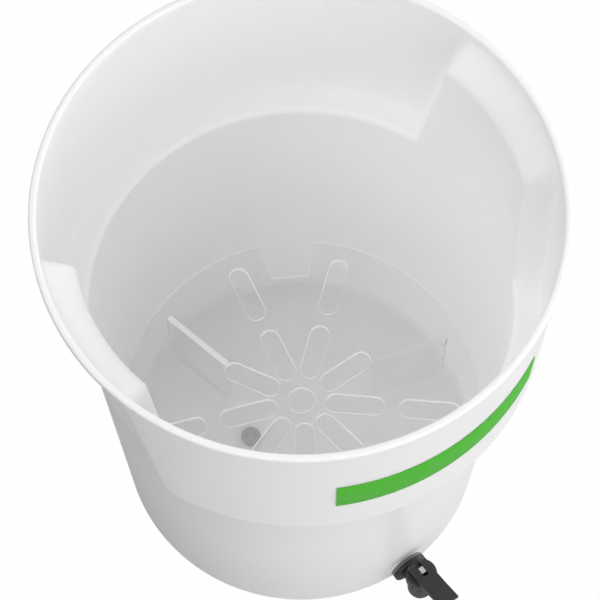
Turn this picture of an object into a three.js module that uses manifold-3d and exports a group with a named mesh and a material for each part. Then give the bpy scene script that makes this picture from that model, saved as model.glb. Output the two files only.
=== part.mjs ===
// Cold brew coffee maker: an open tapered container with a wide collar and two hand grips,
// a clear perforated lift plate on three fins inside it, and a spring closed lever tap low
// at the front. Millimetres, +Z up, front towards -Y, grips on the X axis, origin at the
// middle of the flat underside.

import * as THREE from 'three';
import { mergeVertices } from 'three/addons/utils/BufferGeometryUtils.js';
import Module from 'manifold-3d';

const wasm = await Module();
wasm.setup();

// Container sizes
const containerHeight = 440;
const rimRadius = 190;
const rimBeadHeight = 8;
const rimBeadDepth = 2;
const rimRound = 1.6;
const wall = 3.5;
const floorThickness = 4;
const baseRadius = 148.2;
const baseEdgeRound = 9;
const floorEdgeRound = 7;
const shelfHeight = 284;
const shelfRadius = 163.4;
const shelfDraft = 1.5;
const shelfEdgeRound = 5;
const collarLowerRadius = 183;
const collarEdgeRound = 4;
const collarCreaseRound = 6;

// Hand grips: the collar is drawn in to the body under a short flange below the rim
const gripLowerHalfWidth = 73;
const gripUpperHalfWidth = 62;
const gripFlange = 14;
const gripTop = containerHeight - gripFlange;
const gripSideFlare = 20;
const gripTopFlare = 11;
const gripLean = 2;
const gripInnerSideGrowth = 7;
const gripInnerTopGrowth = 5;

// Lift plate and its fins
const plateTop = 82;
const plateThickness = 4;
const plateWallGap = 3;
const centreHoleRadius = 11;
const slotWidth = 16;
const innerSlotCount = 9;
const innerSlotStart = 20.5;
const innerSlotEnd = 69;
const outerSlotStart = 81;
const outerSlotEnd = 132;
const firstSlotAngle = 10;
const notchCount = 3;
const notchDistance = 113;
const notchInnerWidth = 33.5;
const notchOuterWidth = 45;
const notchCornerRound = 3;
const finThickness = 5;
const finStart = 68;
const finEnd = 134;
const finOffset = 15;
const finAngle = 346;
const finFootChamfer = 8;

// Plug in the floor
const plugX = -37;
const plugY = 22;
const plugHeadRadius = 8;
const plugHeadHeight = 5;
const plugStemRadius = 4.5;
const plugRingRadius = 4;
const plugRingDepth = 1.5;
const plugRecess = 0.8;

// Front label
const labelHalfAngle = 27.5;
const labelHeight = 39;
const labelPlaceShare = 0.4455;
const labelMiddle = shelfHeight + (containerHeight - shelfHeight) * labelPlaceShare;
const labelLow = labelMiddle - labelHeight / 2;
const labelHigh = labelMiddle + labelHeight / 2;
const labelThickness = 0.5;

// Tap: shank through the wall, upright barrel, seat cup, stem, bonnet and lever
const clearance = 0.3;
const tapHeight = 27;
const padRadius = 16;
const padProud = 0.5;
const shankRadius = 8;
const shankBoreRadius = 4.5;
const shankSpare = 3;
const gasketThickness = 2.5;
const outerGasketRadius = 15;
const innerGasketRadius = 12.5;
const flangeThickness = 3.5;
const nutAcrossFlats = 26;
const nutThickness = 7;
const neckLength = 2.6;
const neckRadius = 8.7;
const barrelRadius = 10.5;
const barrelBottom = 11;
const barrelTop = 41;
const barrelBoreRadius = 8;
const seatHeight = 14;
const spoutRadius = 7.5;
const spoutBottom = 5;
const outletRadius = 4.2;
const bonnetRadius = 12.6;
const bonnetTop = 50;
const bonnetRoof = 3;
const bonnetLap = 5;
const bonnetEdge = 1;
const bonnetFluteCount = 12;
const bonnetFluteRadius = 1.2;
const seatCupRadius = 6.3;
const seatCupHeight = 4;
const seatCupNeckRadius = 3.6;
const diaphragmThickness = 3;
const stemRadius = 2;
const stemShoulderRadius = 6;
const stemShoulderThickness = 1.7;
const stemShoulderHeight = 35;
const stemFoot = 22;
const stemTabDepth = 5.5;
const stemTabAbovePin = 3;
const pinHeight = 55;
const pinRadius = 1.5;
const pinClearance = 0.15;
const springWireRadius = 0.6;
const springRadius = 4.2;
const springTurns = 3;
const leverWidth = 17;
const leverSlotClearance = 0.4;
const leverOpenAngle = 50;
const valveLift = 4;
const leverTop = 3.6;
const leverLength = 38;
const leverRise = 10;
const leverTipThickness = 3.2;

// Places that follow from the sizes above
const overrun = 10;
const ringSteps = 48;
const smallSteps = 24;
const halfTurn = 180;
const degree = Math.PI / halfTurn;
const collarUpperRadius = rimRadius - rimBeadDepth;
const plateRadius = bodyRadius(plateTop) - wall - plateWallGap;
const plateBottom = plateTop - plateThickness;
const padFace = bodyRadius(tapHeight + padRadius) + padProud;
const padInnerRadius = bodyRadius(tapHeight - padRadius) - wall;
const padInnerFace = Math.sqrt(padInnerRadius ** 2 - padRadius ** 2) - padProud;
const outerGasketFace = padFace + clearance;
const flangeFace = outerGasketFace + gasketThickness + clearance;
const flangeFront = flangeFace + flangeThickness;
const innerGasketFace = padInnerFace - clearance;
const nutFace = innerGasketFace - gasketThickness - clearance;
const shankEnd = nutFace - nutThickness - shankSpare;
const barrelDistance = flangeFront + neckLength + barrelRadius;
const bonnetCeiling = bonnetTop - bonnetRoof;
const diaphragmTop = stemShoulderHeight - clearance;
const stemBoreRadius = stemRadius + clearance;

// Small helpers for closed solids
function closedGeometry(geometry) {
  const bare = geometry.clone();
  bare.deleteAttribute('normal');
  bare.deleteAttribute('uv');
  const merged = mergeVertices(bare.index ? bare.toNonIndexed() : bare, 1e-4);
  const position = merged.attributes.position;
  const corners = Array.from(merged.index.array);
  const a = new THREE.Vector3();
  const b = new THREE.Vector3();
  const c = new THREE.Vector3();
  const kept = [];
  let volume = 0;
  for (let i = 0; i < corners.length; i += 3) {
    const [p, q, r] = [corners[i], corners[i + 1], corners[i + 2]];
    if (p === q || q === r || r === p) {
      continue;
    }
    a.fromBufferAttribute(position, p);
    b.fromBufferAttribute(position, q);
    c.fromBufferAttribute(position, r);
    volume += a.dot(b.cross(c));
    kept.push(p, q, r);
  }
  if (volume < 0) {
    for (let i = 0; i < kept.length; i += 3) {
      const swap = kept[i + 1];
      kept[i + 1] = kept[i + 2];
      kept[i + 2] = swap;
    }
  }
  merged.setIndex(kept);
  return merged;
}

function solid(geometry) {
  const closed = closedGeometry(geometry);
  const vertProperties = new Float32Array(closed.attributes.position.array);
  const triVerts = new Uint32Array(closed.index.array);
  return new wasm.Manifold(new wasm.Mesh({ numProp: 3, vertProperties, triVerts }));
}

function surface(body) {
  const mesh = body.getMesh();
  const geometry = new THREE.BufferGeometry();
  geometry.setAttribute('position', new THREE.BufferAttribute(new Float32Array(mesh.vertProperties), 3));
  geometry.setIndex(Array.from(mesh.triVerts));
  return geometry;
}

function turned(profile, steps = ringSteps) {
  return new THREE.LatheGeometry(profile.map(([r, y]) => new THREE.Vector2(r, y)), steps);
}

function uprightTurn(profile, distance = 0, steps = ringSteps) {
  const geometry = turned(profile, steps);
  geometry.rotateX(Math.PI / 2);
  geometry.translate(0, -distance, 0);
  return geometry;
}

function frontTurn(profile, height, steps = ringSteps) {
  const geometry = turned(profile.map(([r, out]) => [r, -out]), steps);
  geometry.translate(0, 0, height);
  return geometry;
}

function discProfile(radius, low, high) {
  return [[0, low], [radius, low], [radius, high], [0, high]];
}

function ringProfile(inner, outer, low, high) {
  return [[inner, low], [outer, low], [outer, high], [inner, high], [inner, low]];
}

function crossCylinder(radius, halfLength, distance, height, steps = smallSteps) {
  const geometry = new THREE.CylinderGeometry(radius, radius, 2 * halfLength, steps);
  geometry.rotateZ(Math.PI / 2);
  geometry.translate(0, -distance, height);
  return geometry;
}

function blend(from, to, share) {
  return from + (to - from) * share;
}

// Container walls
function bodyRadius(z) {
  return blend(baseRadius, shelfRadius, z / shelfHeight);
}

function collarRadius(z) {
  return blend(collarLowerRadius, collarUpperRadius, (z - shelfHeight) / (containerHeight - shelfHeight));
}

function gripRadius(z) {
  return shelfRadius + gripLean * (z - shelfHeight) / (gripTop - shelfHeight);
}

function gripShare(across, z, sideGrowth, topGrowth) {
  const rise = Math.min(1, (z - shelfHeight) / (gripTop - shelfHeight));
  const half = blend(gripLowerHalfWidth, gripUpperHalfWidth, rise) + sideGrowth;
  const sideShort = Math.max(0, 1 - (half - across) / (gripSideFlare + sideGrowth / 2));
  const topShort = Math.max(0, 1 - (gripTop + topGrowth - z) / (gripTopFlare + topGrowth / 2));
  const share = Math.max(0, 1 - Math.hypot(sideShort, topShort));
  return share * share * (3 - 2 * share);
}

function outerShare(across, z) {
  return gripShare(across, z, 0, 0);
}

function innerShare(across, z) {
  return gripShare(across, z, gripInnerSideGrowth, gripInnerTopGrowth);
}

function outerRadius(across, z) {
  return blend(collarRadius(z), gripRadius(z), outerShare(across, z));
}

function innerRadius(across, z) {
  return blend(collarRadius(z), gripRadius(z), innerShare(across, z)) - wall;
}

const edgeShares = [0, 0.25, 0.5, 0.75, 1];
const collarHeightShares = [0.08, 0.26, 0.45, 0.62, 0.74, 0.81, 0.85, 0.88, 0.905, 0.93];

function outsideRows(across) {
  const rows = [];
  for (const share of edgeShares) {
    const turn = share * Math.PI / 2;
    const z = baseEdgeRound * (1 - Math.cos(turn));
    rows.push([bodyRadius(z) - baseEdgeRound * (1 - Math.sin(turn)), z]);
  }
  const underShelf = shelfHeight - shelfDraft;
  rows.push([bodyRadius(underShelf), underShelf]);
  const stepShare = 1 - outerShare(across, shelfHeight);
  for (const share of edgeShares) {
    const turn = share * Math.PI / 2;
    const z = shelfHeight + collarEdgeRound * (1 - Math.cos(turn));
    rows.push([outerRadius(across, z) - collarEdgeRound * (1 - Math.sin(turn)) * stepShare, z]);
  }
  for (const share of collarHeightShares) {
    const z = blend(shelfHeight, containerHeight, share);
    rows.push([outerRadius(across, z), z]);
  }
  return rows;
}

function rimRows() {
  const beadLow = containerHeight - rimBeadHeight;
  const innerEdge = collarUpperRadius - wall;
  return [
    [collarRadius(beadLow), beadLow],
    [rimRadius, beadLow + rimBeadDepth],
    [rimRadius, containerHeight - rimRound],
    [rimRadius - rimRound, containerHeight],
    [innerEdge + rimRound, containerHeight],
    [innerEdge, containerHeight - rimRound],
  ];
}

function insideRows(across) {
  const rows = [];
  const shelfTop = shelfHeight + wall;
  for (const share of collarHeightShares.toReversed()) {
    const z = blend(shelfHeight, containerHeight, share) + wall;
    rows.push([innerRadius(across, z), z]);
  }
  const gripped = innerShare(across, shelfTop);
  for (const share of edgeShares.toReversed()) {
    const turn = share * Math.PI / 2;
    const z = shelfTop + collarCreaseRound * (1 - Math.cos(turn));
    rows.push([innerRadius(across, z) - collarCreaseRound * (1 - Math.sin(turn)) * (1 - gripped), z]);
  }
  const edgeStart = shelfTop - shelfDraft;
  for (const share of edgeShares) {
    const turn = share * Math.PI / 2;
    const z = edgeStart - shelfEdgeRound * (1 - Math.cos(turn));
    rows.push([bodyRadius(z) - wall + shelfEdgeRound * (1 - Math.sin(turn)) * (1 - gripped), z]);
  }
  for (const share of edgeShares.toReversed()) {
    const turn = share * Math.PI / 2;
    const z = floorThickness + floorEdgeRound * (1 - Math.cos(turn));
    rows.push([bodyRadius(z) - wall - floorEdgeRound * (1 - Math.sin(turn)), z]);
  }
  return rows;
}

// Column angles in degrees from the middle of a grip to the middle of the plain wall beside it
const quarterAngles = [0, 6, 11, 14, 16, 18, 20, 22, 24, 26, 29, 36, 43, 50, 58, 66, 74, 82];

function columnOffsets() {
  const offsets = [];
  for (const angle of quarterAngles) {
    offsets.push([angle, angle]);
  }
  offsets.push([90, 90]);
  for (const angle of quarterAngles.toReversed()) {
    offsets.push([halfTurn - angle, angle]);
  }
  return offsets.slice(0, -1);
}

function containerShell() {
  const columns = [];
  for (const half of [0, halfTurn]) {
    for (const [angle, offset] of columnOffsets()) {
      columns.push([(half + angle) * degree, collarLowerRadius * offset * degree]);
    }
  }
  const positions = [];
  const faces = [];
  let rowCount = 0;
  for (const [angle, across] of columns) {
    const rows = [...outsideRows(across), ...rimRows(), ...insideRows(across)];
    rowCount = rows.length;
    for (const [r, z] of rows) {
      positions.push(r * Math.cos(angle), r * Math.sin(angle), z);
    }
  }
  const underside = positions.length / 3;
  positions.push(0, 0, 0);
  positions.push(0, 0, floorThickness);
  for (let i = 0; i < columns.length; i += 1) {
    const here = i * rowCount;
    const next = ((i + 1) % columns.length) * rowCount;
    for (let j = 0; j + 1 < rowCount; j += 1) {
      faces.push(here + j, next + j, next + j + 1);
      faces.push(here + j, next + j + 1, here + j + 1);
    }
    faces.push(underside, next, here);
    faces.push(underside + 1, here + rowCount - 1, next + rowCount - 1);
  }
  const geometry = new THREE.BufferGeometry();
  geometry.setAttribute('position', new THREE.Float32BufferAttribute(positions, 3));
  geometry.setIndex(faces);
  return geometry;
}

function container() {
  const pad = frontTurn(discProfile(padRadius, padInnerFace, padFace), tapHeight);
  const tapHole = frontTurn(
    discProfile(shankRadius + clearance, padInnerFace - overrun, padFace + overrun), tapHeight, smallSteps);
  const plugHole = uprightTurn(
    discProfile(plugStemRadius + clearance, -overrun, floorThickness + overrun), 0, smallSteps);
  plugHole.translate(plugX, plugY, 0);
  return surface(solid(containerShell()).add(solid(pad)).subtract(solid(tapHole)).subtract(solid(plugHole)));
}

// A plain strip that follows the collar
function frontLabel() {
  const steps = 20;
  const positions = [];
  const faces = [];
  for (let i = 0; i <= steps; i += 1) {
    const angle = blend(-labelHalfAngle, labelHalfAngle, i / steps) * degree - Math.PI / 2;
    for (const [z, lift] of [[labelLow, 0], [labelLow, labelThickness], [labelHigh, labelThickness], [labelHigh, 0]]) {
      const r = collarRadius(z) + clearance + lift;
      positions.push(r * Math.cos(angle), r * Math.sin(angle), z);
    }
  }
  for (let i = 0; i < steps; i += 1) {
    for (let j = 0; j < 4; j += 1) {
      const here = i * 4 + j;
      const turn = i * 4 + (j + 1) % 4;
      faces.push(here, here + 4, turn + 4);
      faces.push(here, turn + 4, turn);
    }
  }
  const last = steps * 4;
  faces.push(0, 1, 2, 0, 2, 3);
  faces.push(last, last + 2, last + 1, last, last + 3, last + 2);
  const geometry = new THREE.BufferGeometry();
  geometry.setAttribute('position', new THREE.Float32BufferAttribute(positions, 3));
  geometry.setIndex(faces);
  return closedGeometry(geometry);
}

// Lift plate: angles are counted clockwise from +Y, as seen from above
function along(angle, distance, side = 0) {
  const turn = angle * degree;
  return new THREE.Vector2(
    distance * Math.sin(turn) + side * Math.cos(turn), distance * Math.cos(turn) - side * Math.sin(turn));
}

function slotShape(angle, start, end) {
  const points = [];
  const half = slotWidth / 2;
  const arcSteps = 6;
  for (let i = 0; i <= arcSteps; i += 1) {
    const turn = Math.PI * i / arcSteps;
    points.push(along(angle, end - half + half * Math.sin(turn), -half * Math.cos(turn)));
  }
  for (let i = 0; i <= arcSteps; i += 1) {
    const turn = Math.PI * i / arcSteps;
    points.push(along(angle, start + half - half * Math.sin(turn), half * Math.cos(turn)));
  }
  return new THREE.Shape(points);
}

function notchPoints(angle) {
  const innerHalf = notchInnerWidth / 2;
  const outerHalf = notchOuterWidth / 2;
  const points = [];
  points.push(along(angle, Math.sqrt(plateRadius ** 2 - outerHalf ** 2), -outerHalf));
  points.push(along(angle, notchDistance + notchCornerRound, -innerHalf));
  points.push(along(angle, notchDistance, notchCornerRound - innerHalf));
  points.push(along(angle, notchDistance, innerHalf - notchCornerRound));
  points.push(along(angle, notchDistance + notchCornerRound, innerHalf));
  points.push(along(angle, Math.sqrt(plateRadius ** 2 - outerHalf ** 2), outerHalf));
  return points;
}

function notchAngle(i) {
  return firstSlotAngle + halfTurn / innerSlotCount + i * 2 * halfTurn / notchCount;
}

function plateOutline() {
  const points = [];
  const outerHalf = notchOuterWidth / 2;
  const notchTurn = Math.asin(outerHalf / plateRadius) / degree;
  const rimSteps = 22;
  for (let i = 0; i < notchCount; i += 1) {
    points.push(...notchPoints(notchAngle(i)));
    const from = notchAngle(i) + notchTurn;
    const to = notchAngle(i + 1) - notchTurn;
    for (let j = 1; j < rimSteps; j += 1) {
      points.push(along(blend(from, to, j / rimSteps), plateRadius));
    }
  }
  return new THREE.Shape(points);
}

function plateCutter(shape) {
  const geometry = new THREE.ExtrudeGeometry(
    shape, { depth: plateThickness + 2 * overrun, bevelEnabled: false, curveSegments: smallSteps / 2 });
  geometry.translate(0, 0, plateBottom - overrun);
  return solid(geometry);
}

function liftPlate() {
  const sheet = new THREE.ExtrudeGeometry(plateOutline(), { depth: plateThickness, bevelEnabled: false });
  sheet.translate(0, 0, plateBottom);
  const hole = new THREE.Shape();
  hole.absarc(0, 0, centreHoleRadius, 0, 2 * Math.PI, false);
  const cutters = [plateCutter(hole)];
  const slotStep = 360 / innerSlotCount;
  for (let i = 0; i < innerSlotCount; i += 1) {
    cutters.push(plateCutter(slotShape(firstSlotAngle + i * slotStep, innerSlotStart, innerSlotEnd)));
  }
  for (let i = 0; i < notchCount; i += 1) {
    for (const side of [-1, 1]) {
      const angle = notchAngle(i) + side * slotStep / 2;
      cutters.push(plateCutter(slotShape(angle, outerSlotStart, outerSlotEnd)));
    }
  }
  return surface(cutters.reduce((plate, cutter) => plate.subtract(cutter), solid(sheet)));
}

// One upright fin under the plate, set beside the middle so that it runs between the slots
function liftFin(i) {
  const foot = floorThickness + clearance;
  const head = plateBottom - clearance;
  const shape = new THREE.Shape();
  shape.moveTo(finStart, foot);
  shape.lineTo(finEnd - finFootChamfer, foot);
  shape.lineTo(finEnd, foot + finFootChamfer);
  shape.lineTo(finEnd, head);
  shape.lineTo(finStart, head);
  shape.closePath();
  const geometry = new THREE.ExtrudeGeometry(shape, { depth: finThickness, bevelEnabled: false });
  geometry.translate(0, 0, -finOffset - finThickness / 2);
  geometry.rotateX(Math.PI / 2);
  geometry.rotateZ(Math.PI / 2 - (finAngle + i * 360 / notchCount) * degree);
  return closedGeometry(geometry);
}

function floorPlug() {
  const top = floorThickness + clearance + plugHeadHeight;
  const profile = [
    [0, plugRecess],
    [plugStemRadius, plugRecess],
    [plugStemRadius, floorThickness + clearance],
    [plugHeadRadius, floorThickness + clearance],
    [plugHeadRadius, top],
    [plugRingRadius, top],
    [plugRingRadius, top - plugRingDepth],
    [0, top - plugRingDepth],
  ];
  const geometry = uprightTurn(profile, 0, smallSteps);
  geometry.translate(plugX, plugY, 0);
  return closedGeometry(geometry);
}

// Tap pieces
function tapBody() {
  const shank = frontTurn(discProfile(shankRadius, shankEnd, barrelDistance), tapHeight, smallSteps);
  const flange = frontTurn(discProfile(outerGasketRadius, flangeFace, flangeFront), tapHeight);
  const neck = frontTurn(discProfile(neckRadius, flangeFront, barrelDistance), tapHeight, smallSteps);
  const barrel = uprightTurn(
    [
      [0, spoutBottom],
      [spoutRadius, spoutBottom],
      [spoutRadius, barrelBottom],
      [barrelRadius, barrelBottom + barrelRadius - spoutRadius],
      [barrelRadius, barrelTop],
      [0, barrelTop],
    ],
    barrelDistance);
  const chamber = uprightTurn(
    discProfile(barrelBoreRadius, seatHeight, barrelTop + overrun), barrelDistance, smallSteps);
  const outlet = uprightTurn(
    discProfile(outletRadius, spoutBottom - overrun, seatHeight + overrun), barrelDistance, smallSteps);
  const bore = frontTurn(
    discProfile(shankBoreRadius, shankEnd - overrun, barrelDistance), tapHeight, smallSteps);
  const body = solid(shank).add(solid(flange)).add(solid(neck)).add(solid(barrel));
  return surface(body.subtract(solid(chamber)).subtract(solid(outlet)).subtract(solid(bore)));
}

function gasket(radius, near, far) {
  return closedGeometry(frontTurn(ringProfile(shankRadius + clearance, radius, near, far), tapHeight));
}

function lockNut() {
  const cornerRadius = nutAcrossFlats / Math.sqrt(3);
  const hexagon = new THREE.CylinderGeometry(cornerRadius, cornerRadius, nutThickness, 6);
  hexagon.translate(0, -(nutFace - nutThickness / 2), tapHeight);
  const hole = frontTurn(
    discProfile(shankRadius + clearance, nutFace - nutThickness - overrun, nutFace + overrun),
    tapHeight, smallSteps);
  return surface(solid(hexagon).subtract(solid(hole)));
}

function seatCup() {
  const low = seatHeight + clearance;
  const profile = [
    [0, low],
    [seatCupRadius, low],
    [seatCupRadius, low + seatCupHeight],
    [seatCupNeckRadius, low + seatCupHeight + seatCupRadius - seatCupNeckRadius],
    [seatCupNeckRadius, diaphragmTop - diaphragmThickness],
    [barrelBoreRadius - clearance, diaphragmTop - diaphragmThickness],
    [barrelBoreRadius - clearance, diaphragmTop],
    [stemBoreRadius, diaphragmTop],
    [stemBoreRadius, stemFoot - clearance],
    [0, stemFoot - clearance],
  ];
  return closedGeometry(uprightTurn(profile, barrelDistance, smallSteps));
}

function valveStem() {
  const rod = uprightTurn(
    [
      [0, stemFoot],
      [stemRadius, stemFoot],
      [stemRadius, stemShoulderHeight],
      [stemShoulderRadius, stemShoulderHeight],
      [stemShoulderRadius, stemShoulderHeight + stemShoulderThickness],
      [stemRadius, stemShoulderHeight + stemShoulderThickness],
      [stemRadius, pinHeight],
      [0, pinHeight],
    ],
    barrelDistance, smallSteps);
  const tabLow = bonnetTop + clearance + clearance;
  const tabHigh = pinHeight + stemTabAbovePin;
  const tab = new THREE.BoxGeometry(2 * stemRadius, stemTabDepth, tabHigh - tabLow);
  tab.translate(0, -barrelDistance, (tabLow + tabHigh) / 2);
  const pinHole = crossCylinder(pinRadius + pinClearance, stemRadius + overrun, barrelDistance, pinHeight);
  return surface(solid(rod).add(solid(tab)).subtract(solid(pinHole)));
}

class Helix extends THREE.Curve {
  constructor(radius, low, high, turns) {
    super();
    this.radius = radius;
    this.low = low;
    this.high = high;
    this.turns = turns;
  }

  getPoint(share, target = new THREE.Vector3()) {
    const turn = share * this.turns * 2 * Math.PI;
    return target.set(
      this.radius * Math.cos(turn), this.radius * Math.sin(turn), blend(this.low, this.high, share));
  }
}

function valveSpring() {
  const reach = clearance + springWireRadius;
  const low = stemShoulderHeight + stemShoulderThickness + reach;
  const path = new Helix(springRadius, low, bonnetCeiling - reach, springTurns);
  const section = new THREE.Shape();
  section.absarc(0, 0, springWireRadius, 0, 2 * Math.PI, false);
  const geometry = new THREE.ExtrudeGeometry(
    section, { steps: 16 * springTurns, curveSegments: 3, bevelEnabled: false, extrudePath: path });
  geometry.translate(0, -barrelDistance, 0);
  return closedGeometry(geometry);
}

function bonnet() {
  const skirtLow = barrelTop - bonnetLap;
  const cap = uprightTurn(
    [
      [barrelRadius + clearance, skirtLow],
      [bonnetRadius, skirtLow],
      [bonnetRadius, bonnetTop - bonnetEdge],
      [bonnetRadius - bonnetEdge, bonnetTop],
      [stemBoreRadius, bonnetTop],
      [stemBoreRadius, bonnetCeiling],
      [barrelBoreRadius, bonnetCeiling],
      [barrelBoreRadius, barrelTop + clearance],
      [barrelRadius + clearance, barrelTop + clearance],
      [barrelRadius + clearance, skirtLow],
    ],
    barrelDistance);
  let body = solid(cap);
  for (let i = 0; i < bonnetFluteCount; i += 1) {
    const turn = 2 * Math.PI * (i + 1 / 2) / bonnetFluteCount;
    const reach = bonnetRadius + bonnetFluteRadius / 2;
    const flute = new THREE.CylinderGeometry(
      bonnetFluteRadius, bonnetFluteRadius, bonnetTop - skirtLow - bonnetRoof, 8);
    flute.rotateX(Math.PI / 2);
    flute.translate(
      reach * Math.cos(turn), reach * Math.sin(turn) - barrelDistance, (bonnetTop + skirtLow) / 2);
    body = body.subtract(solid(flute));
  }
  return surface(body);
}

// The lever's heel is a cam whose depth grows evenly with the turn, so the stem lifts evenly
function leverSide() {
  const heel = pinHeight - bonnetTop - clearance;
  const growth = valveLift / (leverOpenAngle * degree);
  const camSteps = 10;
  const points = [];
  points.push(new THREE.Vector2(-heel, -heel));
  for (let i = 0; i <= camSteps; i += 1) {
    const turn = leverOpenAngle * degree * i / camSteps;
    const depth = heel + growth * turn;
    points.push(new THREE.Vector2(
      depth * Math.sin(turn) + growth * Math.cos(turn), growth * Math.sin(turn) - depth * Math.cos(turn)));
  }
  points.push(new THREE.Vector2(2 * leverTop, leverTop / 2));
  points.push(new THREE.Vector2(leverTop, leverTop));
  points.push(new THREE.Vector2(-2 * leverTop, leverTop));
  points.push(new THREE.Vector2(-leverLength / 2, leverTop + leverRise / 3));
  points.push(new THREE.Vector2(-leverLength + leverTipThickness / 2, leverTop + leverRise));
  points.push(new THREE.Vector2(-leverLength, leverTop + leverRise - leverTipThickness / 2));
  points.push(new THREE.Vector2(-leverLength + leverTipThickness / 2, leverTop + leverRise - leverTipThickness));
  points.push(new THREE.Vector2(-leverLength / 2, leverTop / 2 - leverTipThickness / 2));
  return new THREE.Shape(points);
}

function lever() {
  const arm = new THREE.ExtrudeGeometry(leverSide(), { depth: leverWidth, bevelEnabled: false });
  arm.rotateY(Math.PI / 2);
  arm.rotateX(Math.PI / 2);
  arm.translate(-leverWidth / 2, -barrelDistance, pinHeight);
  const slotHalf = stemRadius + leverSlotClearance;
  const slotFront = stemTabDepth / 2 + stemTabAbovePin;
  const slotDepth = slotFront + overrun + overrun;
  const slot = new THREE.BoxGeometry(2 * slotHalf, slotDepth, 4 * overrun);
  slot.translate(0, slotDepth / 2 - slotFront - barrelDistance, pinHeight);
  const pinHole = crossCylinder(pinRadius + pinClearance, leverWidth, barrelDistance, pinHeight);
  return surface(solid(arm).subtract(solid(slot)).subtract(solid(pinHole)));
}

function pivotPin() {
  return closedGeometry(crossCylinder(pinRadius, leverWidth / 2 - clearance, barrelDistance, pinHeight));
}

// Colours
const whitePlastic = { color: 0xeeeeec, roughness: 0.45, metalness: 0 };
const clearPlastic = { color: 0xdde2e3, roughness: 0.1, metalness: 0, transparent: true, opacity: 0.4 };
const greenPrint = { color: 0x55af3c, roughness: 0.5, metalness: 0 };
const blackPlastic = { color: 0x17181a, roughness: 0.4, metalness: 0 };
const greyRubber = { color: 0x77797a, roughness: 0.7, metalness: 0 };
const paleSilicone = { color: 0xd8d6cf, roughness: 0.6, metalness: 0 };
const steel = { color: 0xb9bcc0, roughness: 0.3, metalness: 1 };

function place(group, name, geometry, looks) {
  geometry.computeVertexNormals();
  const mesh = new THREE.Mesh(geometry, new THREE.MeshStandardMaterial({ flatShading: true, ...looks }));
  mesh.name = name;
  group.add(mesh);
}

const coffeeMaker = new THREE.Group();
place(coffeeMaker, 'container', container(), whitePlastic);
place(coffeeMaker, 'front_label', frontLabel(), greenPrint);
place(coffeeMaker, 'floor_plug', floorPlug(), greyRubber);

const lift = new THREE.Group();
place(lift, 'lift_plate', liftPlate(), clearPlastic);
for (let i = 0; i < notchCount; i += 1) {
  place(lift, `lift_fin_${i + 1}`, liftFin(i), clearPlastic);
}
coffeeMaker.add(lift);

const tap = new THREE.Group();
place(tap, 'tap_body', tapBody(), blackPlastic);
place(tap, 'tap_outer_gasket', gasket(outerGasketRadius, outerGasketFace, outerGasketFace + gasketThickness),
  greyRubber);
place(tap, 'tap_inner_gasket', gasket(innerGasketRadius, innerGasketFace - gasketThickness, innerGasketFace),
  greyRubber);
place(tap, 'tap_lock_nut', lockNut(), blackPlastic);
place(tap, 'seat_cup', seatCup(), paleSilicone);
place(tap, 'valve_stem', valveStem(), steel);
place(tap, 'valve_spring', valveSpring(), steel);
place(tap, 'tap_bonnet', bonnet(), blackPlastic);
place(tap, 'lever_pin', pivotPin(), steel);
place(tap, 'tap_lever', lever(), blackPlastic);
coffeeMaker.add(tap);

export default coffeeMaker;
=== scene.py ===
import math

import bmesh
import bpy
import numpy as np
from mathutils import Matrix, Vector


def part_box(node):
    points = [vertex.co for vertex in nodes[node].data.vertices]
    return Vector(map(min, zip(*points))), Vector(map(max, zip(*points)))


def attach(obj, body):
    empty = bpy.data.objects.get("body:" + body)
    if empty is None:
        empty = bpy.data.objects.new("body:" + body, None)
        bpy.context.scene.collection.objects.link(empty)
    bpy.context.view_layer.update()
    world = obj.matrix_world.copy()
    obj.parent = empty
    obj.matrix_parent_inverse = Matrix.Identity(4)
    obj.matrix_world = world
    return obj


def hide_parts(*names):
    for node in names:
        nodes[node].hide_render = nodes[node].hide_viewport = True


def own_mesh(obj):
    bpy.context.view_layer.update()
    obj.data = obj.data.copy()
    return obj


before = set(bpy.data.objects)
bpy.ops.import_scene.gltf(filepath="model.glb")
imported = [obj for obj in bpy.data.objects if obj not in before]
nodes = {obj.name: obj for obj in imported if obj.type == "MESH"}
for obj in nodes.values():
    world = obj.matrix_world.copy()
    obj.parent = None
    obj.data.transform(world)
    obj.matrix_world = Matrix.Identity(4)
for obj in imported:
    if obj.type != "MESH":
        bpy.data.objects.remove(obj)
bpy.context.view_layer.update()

# The container: one moulding of white polyethylene, a tapered body with a wide collar and
# a beaded rim. The collar is drawn in to the body at two opposite places, where hands lift
# it. The wall is a loft of rings, and the tap's pad and both holes are made after it.
# Sizes are in millimetres and angles in degrees.

body_foot, body_head, head_height = 148.2, 163.4, 284.0
body_middle = 150.0
collar_low, collar_high, full_height = 183.0, 188.0, 440.0
wall = 3.5
floor_top = 4.0
foot_round, under_round, shelf_round, crease_round, floor_round = 9.0, 4.0, 6.0, 5.0, 7.0
bead_start, bead_low, bead_middle, bead_round = 431.6, 431.8, 434.6, 1.9
rim_outside, rim_inside, rim_shoulder, rim_round = 190.0, 184.5, 438.4, 1.6
grip_low_half, grip_high_half, grip_top = 87.0, 62.8, 426.0
grip_low_shift, grip_high_shift = -14.0, -15.5
grip_flare, grip_roof, grip_lean = 9.0, 17.0, 2.0
inner_side, inner_top = 5.0, 7.0
grip_start, grip_end = -38, 30
tap_height, tap_hole = 27.0, 8.3
pad_inside, pad_outside, pad_radius, pad_round = 143.9, 151.0, 16.0, 0.6
plug_place, plug_hole = (-37, 22, 0), 4.8


def body_radius(z):
    """The body's cone: its radius grows evenly with height."""
    return body_foot + (body_head - body_foot) * z / head_height


def collar_radius(z):
    """The collar's cone."""
    return collar_low + (collar_high - collar_low) * (z - head_height) / (full_height - head_height)


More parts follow.
